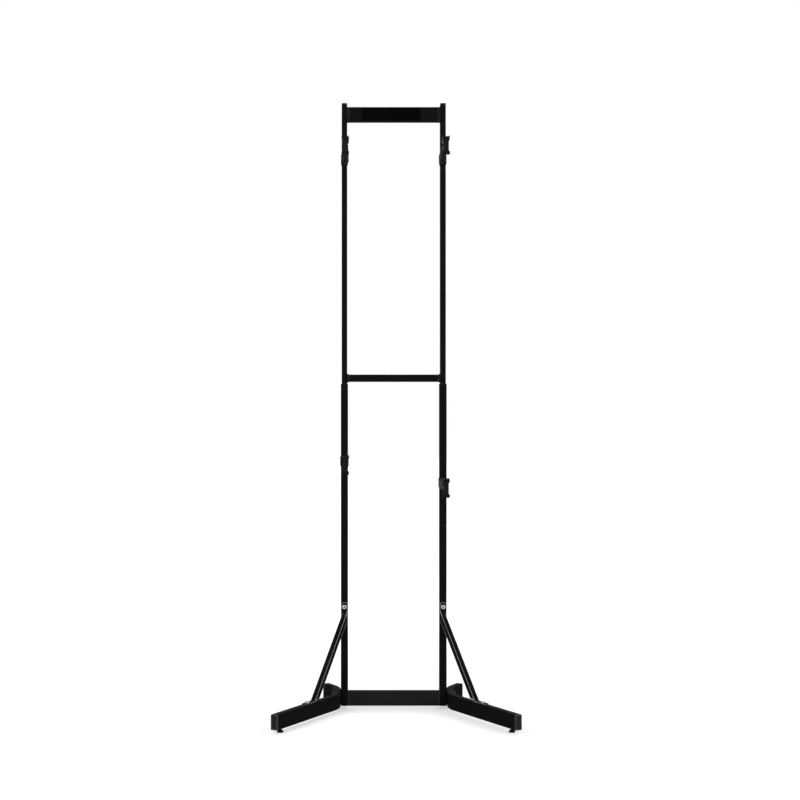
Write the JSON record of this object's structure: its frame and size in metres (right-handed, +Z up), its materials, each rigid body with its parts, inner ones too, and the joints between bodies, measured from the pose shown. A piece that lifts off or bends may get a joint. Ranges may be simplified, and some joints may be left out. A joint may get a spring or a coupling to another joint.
{
  "type": "two tier bike rack",
  "caption": "Free-standing steel rack that stores bicycles on two levels, on padded cradles at the ends of arms that slide up and down a pair of uprights.",
  "frame": {"origin": "on the floor, in the middle of the rack's footprint", "axes": "+Z up, +X to the right as seen from the front, +Y to the rear: the arms and the long ends of the legs point to -Y"},
  "size_m": [0.7926, 0.5222, 2.063],
  "materials": {
    "powder_coat": "black satin powder coat on steel tube and strip, with a fine orange-peel texture",
    "moulded_plastic": "black moulded nylon with a fine grain",
    "rubber": "black moulded rubber, matte",
    "zinc_hardware": "bright zinc-plated steel"
  },
  "bodies": {
    "frame": {"lower_crossbar": "powder_coat", "mid_crossbar": "powder_coat", "top_crossbar": "powder_coat", "left_lower_upright": "powder_coat", "left_upper_upright": "powder_coat", "left_upright_cap": "moulded_plastic", "left_joint_screw": "zinc_hardware", "left_leg": "powder_coat", "left_leg_front_cap": "moulded_plastic", "left_leg_rear_cap": "moulded_plastic", "left_leg_bolt_1": "zinc_hardware", "left_leg_bolt_2": "zinc_hardware", "left_brace": "powder_coat", "left_brace_upper_bolt": "zinc_hardware", "left_brace_lower_bolt": "zinc_hardware", "right_lower_upright": "powder_coat", "right_upper_upright": "powder_coat", "right_upright_cap": "moulded_plastic", "right_joint_screw": "zinc_hardware", "right_leg": "powder_coat", "right_leg_front_cap": "moulded_plastic", "right_leg_rear_cap": "moulded_plastic", "right_leg_bolt_1": "zinc_hardware", "right_leg_bolt_2": "zinc_hardware", "right_brace": "powder_coat", "right_brace_upper_bolt": "zinc_hardware", "right_brace_lower_bolt": "zinc_hardware"},
    "left_front_foot": {"left_front_foot": "moulded_plastic"},
    "left_rear_foot": {"left_rear_foot": "moulded_plastic"},
    "right_front_foot": {"right_front_foot": "moulded_plastic"},
    "right_rear_foot": {"right_rear_foot": "moulded_plastic"},
    "upper_left_arm": {"upper_left_arm": "powder_coat", "upper_left_cradle_spindle": "zinc_hardware"},
    "upper_left_cradle": {"upper_left_cradle": "moulded_plastic", "upper_left_cradle_pad": "rubber", "upper_left_strap_pin": "zinc_hardware"},
    "upper_left_strap": {"upper_left_strap": "rubber"},
    "upper_left_clamp_knob": {"upper_left_clamp_knob": "moulded_plastic"},
    "upper_right_arm": {"upper_right_arm": "powder_coat", "upper_right_cradle_spindle": "zinc_hardware"},
    "upper_right_cradle": {"upper_right_cradle": "moulded_plastic", "upper_right_cradle_pad": "rubber", "upper_right_strap_pin": "zinc_hardware"},
    "upper_right_strap": {"upper_right_strap": "rubber"},
    "upper_right_clamp_knob": {"upper_right_clamp_knob": "moulded_plastic"},
    "lower_left_arm": {"lower_left_arm": "powder_coat", "lower_left_cradle_spindle": "zinc_hardware"},
    "lower_left_cradle": {"lower_left_cradle": "moulded_plastic", "lower_left_cradle_pad": "rubber", "lower_left_strap_pin": "zinc_hardware"},
    "lower_left_strap": {"lower_left_strap": "rubber"},
    "lower_left_clamp_knob": {"lower_left_clamp_knob": "moulded_plastic"},
    "lower_right_arm": {"lower_right_arm": "powder_coat", "lower_right_cradle_spindle": "zinc_hardware"},
    "lower_right_cradle": {"lower_right_cradle": "moulded_plastic", "lower_right_cradle_pad": "rubber", "lower_right_strap_pin": "zinc_hardware"},
    "lower_right_strap": {"lower_right_strap": "rubber"},
    "lower_right_clamp_knob": {"lower_right_clamp_knob": "moulded_plastic"}
  },
  "joints": [
    {"name": "left_front_foot_level", "type": "slide", "parent": "frame", "child": "left_front_foot", "axis": [0, 0, 1], "range_m": [-0.008, 0.003]},
    {"name": "left_rear_foot_level", "type": "slide", "parent": "frame", "child": "left_rear_foot", "axis": [0, 0, 1], "range_m": [-0.008, 0.003]},
    {"name": "right_front_foot_level", "type": "slide", "parent": "frame", "child": "right_front_foot", "axis": [0, 0, 1], "range_m": [-0.008, 0.003]},
    {"name": "right_rear_foot_level", "type": "slide", "parent": "frame", "child": "right_rear_foot", "axis": [0, 0, 1], "range_m": [-0.008, 0.003]},
    {"name": "upper_left_arm_height", "type": "slide", "parent": "frame", "child": "upper_left_arm", "axis": [0, 0, 1], "range_m": [-0.7, 0.1]},
    {"name": "upper_right_arm_height", "type": "slide", "parent": "frame", "child": "upper_right_arm", "axis": [0, 0, 1], "range_m": [-0.7, 0.1]},
    {"name": "lower_left_arm_height", "type": "slide", "parent": "frame", "child": "lower_left_arm", "axis": [0, 0, 1], "range_m": [-0.455, 0.21]},
    {"name": "lower_right_arm_height", "type": "slide", "parent": "frame", "child": "lower_right_arm", "axis": [0, 0, 1], "range_m": [-0.38, 0.28]},
    {"name": "upper_left_knob_turn", "type": "hinge", "parent": "upper_left_arm", "child": "upper_left_clamp_knob", "pos_m": [-0.168, 0.17, 1.872], "axis": [0, 1, 0], "continuous": true},
    {"name": "upper_right_knob_turn", "type": "hinge", "parent": "upper_right_arm", "child": "upper_right_clamp_knob", "pos_m": [0.168, 0.17, 1.872], "axis": [0, 1, 0], "continuous": true},
    {"name": "lower_left_knob_turn", "type": "hinge", "parent": "lower_left_arm", "child": "lower_left_clamp_knob", "pos_m": [-0.168, 0.17, 0.8435], "axis": [0, 1, 0], "continuous": true},
    {"name": "lower_right_knob_turn", "type": "hinge", "parent": "lower_right_arm", "child": "lower_right_clamp_knob", "pos_m": [0.168, 0.17, 0.77], "axis": [0, 1, 0], "continuous": true},
    {"name": "upper_left_cradle_tilt", "type": "hinge", "parent": "upper_left_arm", "child": "upper_left_cradle", "pos_m": [-0.162, -0.104, 1.872], "axis": [0, 1, 0], "range_deg": [-20, 20]},
    {"name": "upper_right_cradle_tilt", "type": "hinge", "parent": "upper_right_arm", "child": "upper_right_cradle", "pos_m": [0.162, -0.104, 1.872], "axis": [0, 1, 0], "range_deg": [-20, 20]},
    {"name": "lower_left_cradle_tilt", "type": "hinge", "parent": "lower_left_arm", "child": "lower_left_cradle", "pos_m": [-0.162, -0.104, 0.8435], "axis": [0, 1, 0], "range_deg": [-20, 20]},
    {"name": "lower_right_cradle_tilt", "type": "hinge", "parent": "lower_right_arm", "child": "lower_right_cradle", "pos_m": [0.162, -0.104, 0.77], "axis": [0, 1, 0], "range_deg": [-20, 20]},
    {"name": "upper_left_strap_swing", "type": "hinge", "parent": "upper_left_cradle", "child": "upper_left_strap", "pos_m": [-0.162, -0.16344, 1.897], "axis": [-1, 0, 0], "range_deg": [0, 225]},
    {"name": "upper_right_strap_swing", "type": "hinge", "parent": "upper_right_cradle", "child": "upper_right_strap", "pos_m": [0.162, -0.16344, 1.897], "axis": [-1, 0, 0], "range_deg": [0, 225]},
    {"name": "lower_left_strap_swing", "type": "hinge", "parent": "lower_left_cradle", "child": "lower_left_strap", "pos_m": [-0.162, -0.16344, 0.8685], "axis": [-1, 0, 0], "range_deg": [0, 225]},
    {"name": "lower_right_strap_swing", "type": "hinge", "parent": "lower_right_cradle", "child": "lower_right_strap", "pos_m": [0.162, -0.16344, 0.795], "axis": [-1, 0, 0], "range_deg": [0, 225]}
  ]
}
